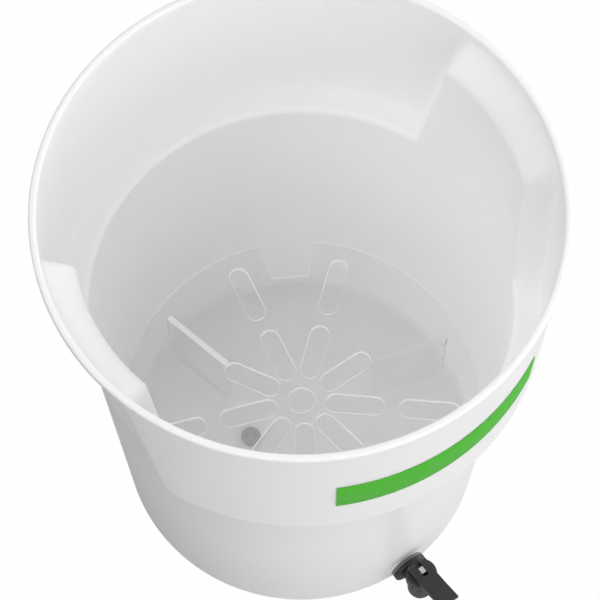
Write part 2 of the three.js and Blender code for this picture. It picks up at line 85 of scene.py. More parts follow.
def grip_share(across, z, side, top):
    """How far the collar is drawn in at a place: 1 in the middle of a grip, 0 outside it.
    The distance to the grip's sides and roof, in widths of the flare, goes through a
    smooth step. The grip's middle moves with height, from its low shift to its high one.
    side and top make the same shape larger and softer for the inner surface."""
    rise = np.clip((z - head_height) / (grip_top - head_height), None, 1)
    half = grip_low_half + (grip_high_half - grip_low_half) * rise + side
    middle = grip_low_shift + (grip_high_shift - grip_low_shift) * rise
    side_short = np.clip(1 - (half - np.abs(across - middle)) / (grip_flare + 0.6 * side), 0, None)
    top_short = np.clip(1 - (grip_top + top - z) / (grip_roof + top), 0, None)
    share = np.clip(1 - np.hypot(side_short, top_short), 0, None)
    return share * share * (3 - 2 * share)


def drawn_radius(across, z, side, top):
    """The collar's radius, blended towards the body's inside the grips."""
    pulled = body_head + grip_lean * (z - head_height) / (grip_top - head_height)
    share = grip_share(across, z, side, top)
    return collar_radius(z) + (pulled - collar_radius(z)) * share


def shell_rings(across):
    """Radius and height of every ring, from the underside's edge up the outside, over the
    rim and down the inside to the floor. across is the distance along the collar from the
    X axis, one value for each column; each ring is one row of the result."""
    turn = np.linspace(0, math.pi / 2, 9)[:, None]
    back = turn[::-1]
    ones = np.ones_like(across)
    rings = []

    def add(radius, z):
        rings.append(np.stack(np.broadcast_arrays(radius * ones, z * ones)))

    for t in turn:
        z = foot_round * (1 - np.cos(t))
        add(body_radius(z) - foot_round * (1 - np.sin(t)), z)
    add(body_radius(body_middle), body_middle)
    add(body_radius(head_height - 3.2), head_height - 3.2)
    add(body_radius(head_height - 1.9) + 0.25, head_height - 1.9)
    step = 1 - grip_share(across, head_height, 0, 0)
    add(body_radius(head_height - 1.2) + 1.6 * step, head_height - 1.2)
    for t in turn:
        z = head_height + under_round * (1 - np.cos(t))
        add(drawn_radius(across, z, 0, 0) - under_round * (1 - np.sin(t)) * step, z)
    for z in np.linspace(290, 431.4, 56):
        add(drawn_radius(across, z, 0, 0), z)
    for t in turn[1::2]:
        add(collar_radius(bead_start) + bead_round * (1 - np.cos(t)), bead_low + bead_round * np.sin(t))
    add(rim_outside, bead_middle)
    for t in turn[::2]:
        add(rim_outside - rim_round * (1 - np.cos(t)), rim_shoulder + rim_round * np.sin(t))
    for t in back[::2]:
        add(rim_inside + rim_round * (1 - np.cos(t)), rim_shoulder + rim_round * np.sin(t))
    for z in np.linspace(434.5, 296.5, 58):
        add(drawn_radius(across, z, inner_side, inner_top) - wall, z)
    shelf = head_height + wall
    gripped = grip_share(across, shelf, inner_side, inner_top)
    for t in back:
        z = shelf + shelf_round * (1 - np.cos(t))
        inset = shelf_round * (1 - np.sin(t)) * (1 - gripped)
        add(drawn_radius(across, z, inner_side, inner_top) - wall - inset, z)
    for t in turn:
        z = shelf - 1.5 - crease_round * (1 - np.cos(t))
        add(body_radius(z) - wall + crease_round * (1 - np.sin(t)) * (1 - gripped), z)
    add(body_radius(body_middle) - wall, body_middle)
    for t in back:
        z = floor_top + floor_round * (1 - np.cos(t))
        add(body_radius(z) - wall - floor_round * (1 - np.sin(t)), z)
    return np.array(rings)


def grid_faces(rows, columns):
    """Quads between neighbouring rows and columns of a grid whose columns close in a ring."""
    row, column = np.meshgrid(np.arange(rows - 1), np.arange(columns), indexing="ij")
    beside = (column + 1) % columns
    quads = np.stack([row * columns + column, row * columns + beside,
                      (row + 1) * columns + beside, (row + 1) * columns + column], axis=-1)
    return quads.reshape(-1, 4)


def mesh_object(name, points, faces, sharp=30):
    """A mesh object at the origin from points in millimetres. Doubles are merged, normals
    are turned outwards, and edges bent by more than sharp degrees stay sharp."""
    mesh = bpy.data.meshes.new(name)
    mesh.from_pydata((np.asarray(points) / 1000).tolist(), [], [list(face) for face in faces])
    work = bmesh.new()
    work.from_mesh(mesh)
    bmesh.ops.remove_doubles(work, verts=work.verts, dist=2e-6)
    bmesh.ops.recalc_face_normals(work, faces=work.faces)
    work.to_mesh(mesh)
    work.free()
    piece = bpy.data.objects.new(name, mesh)
    bpy.context.scene.collection.objects.link(piece)
    soften(piece, sharp)
    return piece


def soften(piece, sharp=30):
    """Smooth shading, with edges bent by more than sharp degrees kept sharp."""
    piece.data.polygons.foreach_set("use_smooth", [True] * len(piece.data.polygons))
    piece.data.set_sharp_from_angle(angle=math.radians(sharp))


def turned(name, outline, steps=96, sharp=30):
    """A solid of revolution about Z. outline is a closed list of (radius, height) and
    point (i, j) is outline point i turned by 2 pi j / steps."""
    outline = np.asarray(outline, float)
    angle = np.linspace(0, 2 * math.pi, steps, endpoint=False)[None, :]
    radius, height = outline[:, :1], outline[:, 1:]
    points = np.stack(np.broadcast_arrays(
        radius * np.cos(angle), radius * np.sin(angle), height + 0 * angle), axis=-1)
    return mesh_object(name, points.reshape(-1, 3), grid_faces(len(outline), steps), sharp)


def moved(piece, matrix):
    """Moves the mesh itself, in millimetres, so that the object stays at the origin."""
    place = matrix.copy()
    place.translation = place.translation / 1000
    piece.data.transform(place)
    return piece


def towards_front(height):
    """The matrix that lays a turned solid down: its axis points to the front, -Y."""
    return Matrix.Translation((0, 0, height)) @ Matrix.Rotation(math.pi / 2, 4, "X")


def joined(piece, other, operation, sharp=30):
    """Adds another solid to a piece or cuts it away, and removes the other."""
    step = piece.modifiers.new("step", "BOOLEAN")
    step.operation = operation
    step.solver = "MANIFOLD"
    step.object = other
    bpy.context.view_layer.update()
    result = bpy.data.meshes.new_from_object(
        piece.evaluated_get(bpy.context.evaluated_depsgraph_get()))
    piece.modifiers.clear()
    piece.data = result
    bpy.data.objects.remove(other)
    soften(piece, sharp)
    return piece


def column_angles():
    """Angles of the columns, closer together across the grips than elsewhere."""
    grip = np.linspace(grip_start, grip_end, 150, endpoint=False)
    plain = np.linspace(grip_end, grip_start + 180, 84, endpoint=False)
    half = np.concatenate([grip, plain])
    return np.radians(np.concatenate([half, half + 180]))


angles = column_angles()
off_grip = (np.degrees(angles) + 90) % 180 - 90
rings = shell_rings(collar_low * np.radians(off_grip))
shell_points = np.stack([rings[:, 0] * np.cos(angles), rings[:, 0] * np.sin(angles),
                         rings[:, 1]], -1)
row_count, column_count = shell_points.shape[:2]
shell_points = np.concatenate([shell_points.reshape(-1, 3), [[0, 0, 0], [0, 0, floor_top]]])
shell_faces = grid_faces(row_count, column_count).tolist()
underside = row_count * column_count
last_row = (row_count - 1) * column_count
for column in range(column_count):
    beside = (column + 1) % column_count
    shell_faces.append([underside, beside, column])
    shell_faces.append([underside + 1, last_row + column, last_row + beside])
container = mesh_object("container_shell", shell_points, shell_faces)
pad = turned("pad", [(0, pad_inside), (pad_radius - pad_round, pad_inside),
                     (pad_radius, pad_inside + pad_round), (pad_radius, pad_outside - pad_round),
                     (pad_radius - pad_round, pad_outside), (0, pad_outside)])
joined(container, moved(pad, towards_front(tap_height)), "UNION")
hole = turned("hole", [(0, 120), (tap_hole, 120), (tap_hole, 170), (0, 170)], 64)
joined(container, moved(hole, towards_front(tap_height)), "DIFFERENCE")
hole = turned("hole", [(0, -5), (plug_hole, -5), (plug_hole, 9), (0, 9)], 48)
joined(container, moved(hole, Matrix.Translation(plug_place)), "DIFFERENCE")


def effect_group(name, inputs, outputs):
    """An empty shader node group with named inputs and outputs."""
    group = bpy.data.node_groups.new(name, "ShaderNodeTree")
    for socket, kind, value in inputs:
        made = group.interface.new_socket(socket, in_out="INPUT", socket_type=kind)
        if value is not None:
            made.default_value = value
    for socket, kind in outputs:
        group.interface.new_socket(socket, in_out="OUTPUT", socket_type=kind)
    return group, group.nodes.new("NodeGroupInput"), group.nodes.new("NodeGroupOutput")


def moulding_group():
    """What injection and blow moulding leave on plastic: Broad, the slow change of tone
    across a wall, Patches, the finer clouding of the gloss, and Skin, the orange peel's
    height. Each is a noise over the object's own coordinates."""
    group, given, result = effect_group(
        "moulded_skin",
        [("Vector", "NodeSocketVector", None), ("Broad Scale", "NodeSocketFloat", 7.0),
         ("Patch Scale", "NodeSocketFloat", 45.0), ("Skin Scale", "NodeSocketFloat", 420.0)],
        [("Broad", "NodeSocketFloat"), ("Patches", "NodeSocketFloat"), ("Skin", "NodeSocketFloat")])
    for scale, output, detail in (("Broad Scale", "Broad", 2), ("Patch Scale", "Patches", 4),
                                  ("Skin Scale", "Skin", 3)):
        noise = group.nodes.new("ShaderNodeTexNoise")
        noise.inputs["Detail"].default_value = detail
        group.links.new(given.outputs["Vector"], noise.inputs["Vector"])
        group.links.new(given.outputs[scale], noise.inputs["Scale"])
        group.links.new(noise.outputs["Fac"], result.inputs[output])
    return group


moulded_skin = moulding_group()


def plastic(name, dark, light, gloss, scales, relief, specular=0.5):
    """A moulded plastic or rubber: its colour runs from dark to light with the broad
    noise, its roughness between the two values of gloss with the patches, and relief is
    the height of its skin in metres."""
    material = bpy.data.materials.new(name)
    material.use_nodes = True
    tree = material.node_tree
    shader = tree.nodes["Principled BSDF"]
    place = tree.nodes.new("ShaderNodeTexCoord")
    skin = tree.nodes.new("ShaderNodeGroup")
    skin.node_tree = moulded_skin
    for socket, value in zip(("Broad Scale", "Patch Scale", "Skin Scale"), scales):
        skin.inputs[socket].default_value = value
    tone = tree.nodes.new("ShaderNodeMix")
    tone.data_type = "RGBA"
    tone.inputs["A"].default_value = (*dark, 1)
    tone.inputs["B"].default_value = (*light, 1)
    sheen = tree.nodes.new("ShaderNodeMapRange")
    sheen.inputs["From Min"].default_value = 0.3
    sheen.inputs["From Max"].default_value = 0.7
    sheen.inputs["To Min"].default_value = gloss[0]
    sheen.inputs["To Max"].default_value = gloss[1]
    bump = tree.nodes.new("ShaderNodeBump")
    bump.inputs["Distance"].default_value = relief
    bump.inputs["Strength"].default_value = 1.0
    link = tree.links.new
    link(place.outputs["Object"], skin.inputs["Vector"])
    link(skin.outputs["Broad"], tone.inputs["Factor"])
    link(tone.outputs["Result"], shader.inputs["Base Color"])
    link(skin.outputs["Patches"], sheen.inputs["Value"])
    link(sheen.outputs["Result"], shader.inputs["Roughness"])
    link(skin.outputs["Skin"], bump.inputs["Height"])
    link(bump.outputs["Normal"], shader.inputs["Normal"])
    shader.inputs["Specular IOR Level"].default_value = specular
    return material


def dress(piece, material, body, slot, *replaced):
    """Gives a piece its material and its body, and hides the CAD nodes it stands for; its slot is not
    used.
    """
    piece.data.materials.clear()
    piece.data.materials.append(material)
    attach(piece, body)
    if replaced:
        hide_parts(*replaced)
    return piece


white_plastic = plastic("white_polyethylene", (0.955, 0.957, 0.955), (0.975, 0.977, 0.975),
                        (0.3, 0.42), (6, 38, 260), 0.00004, 0.33)
milky = white_plastic.node_tree.nodes["Principled BSDF"]
milky.inputs["Subsurface Weight"].default_value = 1.0
milky.inputs["Subsurface Radius"].default_value = (1.0, 0.98, 0.95)
milky.inputs["Subsurface Scale"].default_value = 0.006
dress(container, white_plastic, "container", "white_plastic", "container")

# The label: a plain green printed film that follows the front of the collar, 0.5 mm thick.
# It is a bent sheet, a grid of angle and height on the collar's cone.

label_half, label_low, label_high = 27.5, 334.0, 373.0
film_back, film_front = 0.3, 0.8


def filleted(corners, steps=5):
    """Rounds each corner (x, y, size) of a closed outline: the corner gives way to a curve
    that leaves its sides size before and after it, a parabola through both ends."""
    corners = np.asarray(corners, float)
    places, sizes = corners[:, :2], corners[:, 2:]
    before = np.roll(places, 1, axis=0) - places
    after = np.roll(places, -1, axis=0) - places
    start = places + before / np.linalg.norm(before, axis=1, keepdims=True) * sizes
    end = places + after / np.linalg.norm(after, axis=1, keepdims=True) * sizes
    share = np.linspace(0, 1, steps)[None, :, None]
    curve = (start[:, None] * (1 - share) ** 2 + 2 * places[:, None] * share * (1 - share)
             + end[:, None] * share ** 2)
    return curve.reshape(-1, 2)


def label_sheet():
    """A closed film: each column is a rounded rectangle through the film's thickness and
    height, carried round the collar by angle."""
    section = filleted([(film_back, label_low, 0.1), (film_front, label_low, 0.2),
                        (film_front, label_high, 0.2), (film_back, label_high, 0.1)], 3)
    turn = np.radians(np.linspace(-label_half, label_half, 121) - 90)[:, None]
    radius = collar_radius(section[:, 1])[None] + section[:, 0][None]
    points = np.stack(np.broadcast_arrays(
        radius * np.cos(turn), radius * np.sin(turn), section[:, 1] + 0 * turn), axis=-1)
    faces = grid_faces(len(turn), len(section)).tolist()
    count = len(section)
    faces.append(list(range(count))[::-1])
    faces.append([(len(turn) - 1) * count + i for i in range(count)])
    return mesh_object("label_film", points.reshape(-1, 3), faces)


green_film = plastic("green_film", (0.062, 0.46, 0.02), (0.08, 0.52, 0.028),
                     (0.42, 0.55), (14, 160, 2600), 0.000006, 0.2)
dress(label_sheet(), green_film, "container", "green_print", "front_label")

# The floor plug: grey rubber, pushed into a hole in the floor from above. Its round head
# has a ring round a shallow dish.

plug_profile = filleted([(0, 0.8, 0), (4.5, 0.8, 0.5), (4.5, 4.3, 0.1), (8, 4.3, 0.4), (8, 9.3, 1.4),
                         (4.4, 9.3, 0.6), (3.8, 7.8, 0.5), (0, 7.8, 0)])
floor_plug = moved(turned("floor_plug_rubber", plug_profile, 72), Matrix.Translation(plug_place))
plug_rubber = plastic("plug_rubber", (0.38, 0.385, 0.385), (0.48, 0.485, 0.485),
                      (0.5, 0.7), (60, 300, 1500), 0.00003)
dress(floor_plug, plug_rubber, "container", "grey_rubber", "floor_plug")

# The lift plate: a clear plastic disc, 4 mm thick, with spokes of slots, a finger hole in
# the middle and three square notches in its edge. It is a flat sheet cut to its outlines,
# with slightly rounded edges.

plate_bottom, plate_thickness, plate_radius = 78.0, 4.0, 146.09
slot_half, centre_hole = 8.0, 11.0
notch_angles = (30, 150, 270)
notch_mouth, notch_depth, notch_foot, notch_round = 22.5, 116.0, 16.75, 3.0


def along(angle, distance, side):
    """Places in the plate's plane: distance out along a spoke and side to its right.
    Angles are counted clockwise from +Y, in degrees."""
    turn = np.radians(angle)
    return np.stack([distance * np.sin(turn) + side * np.cos(turn),
                     distance * np.cos(turn) - side * np.sin(turn)], axis=-1)


def slot_outline(angle, start, end):
    """A slot with half-round ends, along a spoke."""
    turn = np.linspace(0, math.pi, 25)
    far = along(angle, end - slot_half + slot_half * np.sin(turn), -slot_half * np.cos(turn))
    near = along(angle, start + slot_half - slot_half * np.sin(turn), slot_half * np.cos(turn))
    return np.concatenate([far, near])


def plate_edge():
    """The plate's rim, with its three notches: straight sides that open outwards and small
    rounded corners."""
    parts = []
    mouth = math.sqrt(plate_radius ** 2 - notch_mouth ** 2)
    reach = math.degrees(math.asin(notch_mouth / plate_radius))
    for angle in notch_angles:
        corner = filleted([(mouth - 9, 3 - notch_mouth, 0), (mouth, -notch_mouth, 1.2),
                           (mouth + 3, -4.5 - notch_mouth, 0)], 5)[5:10]
        parts.append(along(angle, corner[::-1, 0], corner[::-1, 1]))
        turn = np.linspace(0, math.pi / 2, 8)
        parts.append(along(angle, notch_depth - notch_round * np.sin(turn),
                           notch_round * (1 - np.cos(turn)) - notch_foot))
        parts.append(along(angle, notch_depth - notch_round * np.cos(turn),
                           notch_foot - notch_round * (1 - np.sin(turn))))
        parts.append(along(angle, corner[:, 0], -corner[:, 1]))
        turn = np.linspace(angle + reach + 1, angle + 120 - reach - 1, 110)
        parts.append(along(turn, plate_radius, 0))
    return np.concatenate(parts)


def flat_piece(name, outlines, thickness, edge):
    """A sheet cut to closed outlines, the first its outside and the others its holes, from
    height 0 to its thickness, with edges rounded by edge. Its two flat sides are shaded
    flat, so that a clear sheet doesn't bend what is seen through it."""
    curve = bpy.data.curves.new(name, "CURVE")
    curve.dimensions = "2D"
    curve.fill_mode = "BOTH"
    curve.extrude = thickness / 2 - edge
    curve.bevel_depth = edge
    curve.bevel_resolution = 2
    curve.offset = -edge
    for outline in outlines:
        spline = curve.splines.new("POLY")
        spline.points.add(len(outline) - 1)
        places = np.zeros((len(outline), 4))
        places[:, :2] = outline
        places[:, 3] = 1
        spline.points.foreach_set("co", places.ravel())
        spline.use_cyclic_u = True
    holder = bpy.data.objects.new(name, curve)
    bpy.context.scene.collection.objects.link(holder)
    bpy.context.view_layer.update()
    mesh = bpy.data.meshes.new_from_object(holder.evaluated_get(bpy.context.evaluated_depsgraph_get()))
    places = np.zeros(len(mesh.vertices) * 3)
    mesh.vertices.foreach_get("co", places)
    places = places.reshape(-1, 3) + (0, 0, thickness / 2)
    faces = [list(polygon.vertices) for polygon in mesh.polygons]
    bpy.data.objects.remove(holder)
    bpy.data.meshes.remove(mesh)
    piece = mesh_object(name, places, faces, 35)
    for polygon in piece.data.polygons:
        if abs(polygon.normal.z) > 0.999:
            polygon.use_smooth = False
    return piece


turn = np.linspace(0, 2 * math.pi, 64, endpoint=False)
outlines = [plate_edge(), np.stack([centre_hole * np.cos(turn), centre_hole * np.sin(turn)], -1)]
outlines += [slot_outline(angle, 20.5, 69) for angle in range(10, 370, 40)]
outlines += [slot_outline(angle + side, 81, 132) for angle in notch_angles for side in (-20, 20)]
lift_plate = moved(flat_piece("lift_plate_sheet", outlines, plate_thickness, 0.5),
                   Matrix.Translation((0, 0, plate_bottom)))


def clear_plastic_material(name, clearness, gloss, bending=1.49, tone=0.95):
    """Clear plastic, a little clouded by use: light passes through it and bends. The less
    its clearness, the more it scatters white, and the more it shows a painted glow: an
    emission that stands in for the light a clear sheet gathers and lets out at its edges.
    Four fifths of the lamps' light reach what lies under it, and nearly all of the light
    that comes back from the floor."""
    material = plastic(name, (tone, tone, tone), (tone + 0.03, tone + 0.03, tone + 0.03), gloss,
                       (20, 90, 300), 0.00002)
    shader = material.node_tree.nodes["Principled BSDF"]
    shader.inputs["Transmission Weight"].default_value = clearness
    shader.inputs["IOR"].default_value = bending
    # The emission is a painted glow, not a lamp: it makes the less clear plastic shine.
    shader.inputs["Emission Color"].default_value = (1, 1, 1, 1)
    shader.inputs["Emission Strength"].default_value = 0.11 * (1 - clearness)
    tree = material.node_tree
    path = tree.nodes.new("ShaderNodeLightPath")
    cover = tree.nodes.new("ShaderNodeMath")
    cover.operation = "MULTIPLY"
    for socket, (ray, passing) in enumerate((("Is Shadow Ray", 0.82), ("Is Diffuse Ray", 0.93))):
        kept = tree.nodes.new("ShaderNodeMath")
        kept.operation = "MULTIPLY_ADD"
        kept.inputs[1].default_value = -passing
        kept.inputs[2].default_value = 1.0
        tree.links.new(path.outputs[ray], kept.inputs[0])
        tree.links.new(kept.outputs[0], cover.inputs[socket])
    tree.links.new(cover.outputs[0], shader.inputs["Alpha"])
    return material


def frosted_with_painted_glow(piece, material, low, high):
    """Gives a clear piece's edge faces, those whose normals rise by low to high, the frosted
    finish that a mould's parting edge leaves there, and with it the material's painted glow."""
    piece.data.materials.append(material)
    for polygon in piece.data.polygons:
        if low < polygon.normal.z < high:
            polygon.material_index = 1


clear_plastic = clear_plastic_material("clear_plastic", 1.0, (0.03, 0.09))
# The frosted edge material carries a painted glow that draws the plate's slots and rim as bright lines.
frosted_plastic_painted_glow = clear_plastic_material("frosted_plastic_painted_glow", 0.0, (0.3, 0.45))
dress(lift_plate, clear_plastic, "lift", "clear_plastic", "lift_plate")
frosted_with_painted_glow(lift_plate, frosted_plastic_painted_glow, -0.9, 0.9)

# The lift plate's fins: three upright strips of clear plastic that hold it off the floor,
# each beside its spoke. They hardly show through the plate. Only the first one's top edge
# is pale, a painted highlight: frosted and glowing. The outer corner of each foot is cut
# off to clear the wall's foot.

fin_start, fin_end, fin_low, fin_high = 68, 134, 4.3, 77.7
fin_chamfer, fin_thickness, fin_aside = 8, 5, 17.5

fin_clear = clear_plastic_material("fin_clear_plastic", 1.0, (0.03, 0.06), 1.02, 0.97)
for i, (angle, clearness) in enumerate(((346, 0.1), (106, 0.9), (226, 0.9))):
    outline = filleted([(fin_start, fin_low, 1), (fin_end - fin_chamfer, fin_low, 2),
                        (fin_end, fin_low + fin_chamfer, 2), (fin_end, fin_high, 0.6),
                        (fin_start, fin_high, 0.6)], 6)
    fin = flat_piece(f"lift_fin_{i + 1}_strip", [outline], fin_thickness, 0.6)
    upright = Matrix.Rotation(math.radians(90 - angle), 4, "Z") @ Matrix.Rotation(math.pi / 2, 4, "X")
    moved(fin, upright @ Matrix.Translation((0, 0, -fin_aside)))
    dress(fin, fin_clear, "lift", "clear_plastic", f"lift_fin_{i + 1}")
    # The first fin's nearly opaque, glowing top edge is a painted highlight; the other two keep only a
    # faint painted glow.
    fin_edge_painted_glow = clear_plastic_material(f"fin_edge_painted_glow_{i + 1}", clearness, (0.3, 0.45), 1.02, 0.97)
    frosted_with_painted_glow(fin, fin_edge_painted_glow, 0.6, 1.1)

# The tap's body: black moulded plastic, with a shank through the wall, a flange against the
# outer washer, a short neck and an upright barrel that narrows to the spout.

tap_distance = 170.7014
flange_back, flange_front = 154.1014, 157.6014
shank_tip = -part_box("tap_body")[1][1] * 1000

black_plastic = plastic("black_plastic", (0.011, 0.012, 0.013), (0.017, 0.018, 0.019),
                        (0.3, 0.48), (50, 220, 1600), 0.00003)
shank = turned("tap_body_moulding", filleted(
    [(0, shank_tip, 0), (8, shank_tip, 0.8), (8, flange_back, 0.2), (15, flange_back, 0.4),
     (15, flange_front, 1.2), (8.7, flange_front, 0.6), (8.7, tap_distance, 0.2), (0, tap_distance, 0)]))
tap_body = moved(shank, towards_front(tap_height))
at_barrel = Matrix.Translation((0, -tap_distance, 0))
barrel = turned("barrel", filleted(
    [(0, 5, 0), (7.5, 5, 0.5), (7.5, 11, 2), (10.5, 14, 2), (10.5, 41, 0.4), (0, 41, 0)]))
joined(tap_body, moved(barrel, at_barrel), "UNION")
for profile in ([(0, 14), (8, 14), (8, 60), (0, 60)], [(0, -5), (4.2, -5), (4.2, 20), (0, 20)]):
    joined(tap_body, moved(turned("bore", profile, 64), at_barrel), "DIFFERENCE")
bore = turned("bore", [(0, 110), (4.5, 110), (4.5, tap_distance), (0, tap_distance)], 64)
joined(tap_body, moved(bore, towards_front(tap_height)), "DIFFERENCE")
dress(tap_body, black_plastic, "container", "black_plastic", "tap_body")

# The tap's washers and nut: soft grey rings on both sides of the wall, drawn together by
# a black hexagon nut on the shank inside the container.

grey_rubber = plastic("grey_rubber", (0.15, 0.155, 0.155), (0.22, 0.225, 0.225),
                      (0.5, 0.7), (60, 300, 1500), 0.00003)
for name, node, radius in (("outer_washer", "tap_outer_gasket", 15),
                           ("inner_washer", "tap_inner_gasket", 12.5)):
    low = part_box(node)[0][1] * -1000
    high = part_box(node)[1][1] * -1000
    outline = filleted([(tap_hole, high, 0.3), (radius, high, 0.8), (radius, low, 0.8),
                        (tap_hole, low, 0.3)])
    outline = np.concatenate([outline, outline[:1]])
    washer = moved(turned(name, outline), towards_front(tap_height))
    dress(washer, grey_rubber, "container", "grey_rubber", node)

nut_half, nut_thickness = 13, 7
turn = np.radians(np.arange(0, 360, 60))
nut_corner = nut_half / math.cos(math.pi / 6)
hexagon = np.stack([nut_corner * np.sin(turn), nut_corner * np.cos(turn), np.full(6, 1.0)], -1)
turn = np.linspace(0, 2 * math.pi, 64, endpoint=False)
nut_bore = np.stack([tap_hole * np.cos(turn), tap_hole * np.sin(turn)], -1)
nut = flat_piece("lock_nut", [filleted(hexagon, 4), nut_bore], nut_thickness, 0.5)
nut_front = -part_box("tap_lock_nut")[0][1] * 1000
moved(nut, towards_front(tap_height) @ Matrix.Translation((0, 0, nut_front - nut_thickness)))
dress(nut, black_plastic, "container", "black_plastic", "tap_lock_nut")

# The tap's inside: a pale soft cup that closes the outlet, the steel stem that lifts it
# and the steel pin that joins stem and lever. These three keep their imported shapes.


def repaint(node, material):
    """Gives a CAD node that stays its material."""
    nodes[node].data.materials.clear()
    nodes[node].data.materials.append(material)


pale_silicone = plastic("pale_silicone", (0.58, 0.57, 0.53), (0.68, 0.67, 0.63),
                        (0.45, 0.6), (80, 400, 2000), 0.00003)
steel = plastic("drawn_steel", (0.5, 0.51, 0.53), (0.6, 0.61, 0.62), (0.22, 0.38),
                (60, 500, 3000), 0.00001)
steel.node_tree.nodes["Principled BSDF"].inputs["Metallic"].default_value = 1.0
repaint("seat_cup", pale_silicone)
for node in ("valve_stem", "lever_pin"):
    repaint(node, steel)

# The valve's spring: steel wire wound in four turns between the stem's shoulder and the
# bonnet's roof. As the stem rises, it is squashed against the roof.

spring_foot, spring_head, stem_lift = 37.0, 46.7, 4.0
coil_radius, wire_radius, coil_turns = 4.2, 0.6, 4


def spring_wire():
    """A helix of round wire whose pitch is smallest at both ends: for a share s of the
    wire, the height is s s (3 - 2 s) of the rise, and each row is a circle round it."""
    share = np.linspace(0, 1, 48 * coil_turns + 1)[:, None]
    around = np.linspace(0, 2 * math.pi, 12, endpoint=False)[None]
    turn = 2 * math.pi * coil_turns * share
    radius = coil_radius + wire_radius * np.cos(around)
    rise = (spring_head - spring_foot - 2 * wire_radius) * share * share * (3 - 2 * share)
    height = spring_foot + wire_radius * (1 + np.sin(around)) + rise
    points = np.stack(np.broadcast_arrays(radius * np.cos(turn), radius * np.sin(turn), height), -1)
    rows, columns = points.shape[:2]
    faces = grid_faces(rows, columns).tolist()
    faces.append(list(range(columns))[::-1])
    faces.append([(rows - 1) * columns + i for i in range(columns)])
    return mesh_object("valve_spring_wire", points.reshape(-1, 3), faces, 40)


spring = moved(spring_wire(), at_barrel)
dress(spring, steel, "container", "stainless_steel", "valve_spring")
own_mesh(spring)

# The bonnet: the black screw cap on the barrel, with shallow flutes for the fingers and a
# hole for the stem.

bonnet_profile = [(10.8, 36, 0.2), (12.6, 36, 0.5), (12.6, 50, 1), (2.3, 50, 0.3), (2.3, 47, 0.2),
                  (8, 47, 0.3), (8, 41.3, 0.2), (10.8, 41.3, 0.2)]
outline = filleted(bonnet_profile)
outline = np.concatenate([outline, outline[:1]])
bonnet = turned("bonnet_cap", outline, 144)
flute_count, flute_distance = 12, 13.2
flute_profile = filleted([(0, 37.5, 0), (1.2, 37.5, 1), (1.2, 48.5, 1), (0, 48.5, 0)], 6)
for i in range(flute_count):
    turn = 2 * math.pi * (i + 0.5) / flute_count
    flute = turned("flute", flute_profile, 24)
    moved(flute, Matrix.Translation((flute_distance * math.cos(turn), flute_distance * math.sin(turn), 0)))
    joined(bonnet, flute, "DIFFERENCE")
moved(bonnet, at_barrel)
dress(bonnet, black_plastic, "container", "black_plastic", "tap_bonnet")

# The lever: black moulded plastic, forked over the stem's head and pinned through it. Its
# heel is the cam that rides on the bonnet, and its arm rises to a rounded tip.

heel, pin_height, lever_width, lever_swing = 4.7, 55, 17, 50
growth = stem_lift / math.radians(lever_swing)


def lever_outline():
    """The lever seen from its side, with the pin at zero and the tip at negative x. The
    heel's depth grows evenly with the turn: an involute."""
    turn = np.radians(np.linspace(0, lever_swing, 15))
    depth = heel + growth * turn
    cam = np.stack([depth * np.sin(turn) + growth * np.cos(turn),
                    growth * np.sin(turn) - depth * np.cos(turn)], -1)
    back = filleted([(*cam[-1], 0), (7.2, 1.8, 0.8), (3.6, 3.6, 1.2), (-7.2, 3.6, 4),
                     (-19, 6.93, 5), (-36.4, 13.6, 1.1), (-38, 12, 1.1), (-36.4, 10.4, 1.1),
                     (-19, 0.2, 5), (-heel, -heel, 1), (*cam[0], 0)], 6)
    return np.concatenate([cam, back[6:-6]])


lever = flat_piece("lever_arm", [lever_outline()], lever_width, 0.7)
upright = Matrix(((0, 0, 1, -lever_width / 2), (1, 0, 0, -tap_distance), (0, 1, 0, pin_height),
                  (0, 0, 0, 1)))
moved(lever, upright)


def block(low, high):
    """A box between two corners, for cutting."""
    corner = np.array([[x, y, z] for x in (low[0], high[0]) for y in (low[1], high[1])
                       for z in (low[2], high[2])])
    faces = [(0, 1, 3, 2), (4, 6, 7, 5), (0, 4, 5, 1), (2, 3, 7, 6), (0, 2, 6, 4), (1, 5, 7, 3)]
    return mesh_object("block", corner, faces)


joined(lever, block((-2.4, -tap_distance - 5.75, pin_height - 20),
                    (2.4, -tap_distance + 20, pin_height + 20)), "DIFFERENCE", 25)
pin_hole = turned("pin_hole", [(0, -20), (1.65, -20), (1.65, 20), (0, 20)], 48)
moved(pin_hole, Matrix.Translation((0, -tap_distance, pin_height)) @ Matrix.Rotation(math.pi / 2, 4, "Y"))
joined(lever, pin_hole, "DIFFERENCE", 25)
dress(lever, black_plastic, "lever", "black_plastic", "tap_lever")

# The studio: a pale floor, a dome of soft light whose low left side is in shade, a large
# soft lamp low in front, a small one at the side and one high up that reaches the inside.

floor_glow, floor_seen, floor_in_gloss = 1.05, 0.93, 0.3


def background_share(tree, in_gloss):
    """A socket that is 1 where the floor or the world is seen directly or through the
    clear plastic, in_gloss where it is seen in a gloss, and 0 for all other light."""
    path = tree.nodes.new("ShaderNodeLightPath")
    gloss = tree.nodes.new("ShaderNodeMath")
    gloss.operation = "MULTIPLY"
    gloss.inputs[1].default_value = in_gloss
    tree.links.new(path.outputs["Is Glossy Ray"], gloss.inputs[0])
    share = path.outputs["Is Camera Ray"]
    for part in (path.outputs["Is Transmission Ray"], gloss.outputs[0]):
        either = tree.nodes.new("ShaderNodeMath")
        either.operation = "MAXIMUM"
        tree.links.new(share, either.inputs[0])
        tree.links.new(part, either.inputs[1])
        share = either.outputs[0]
    return share


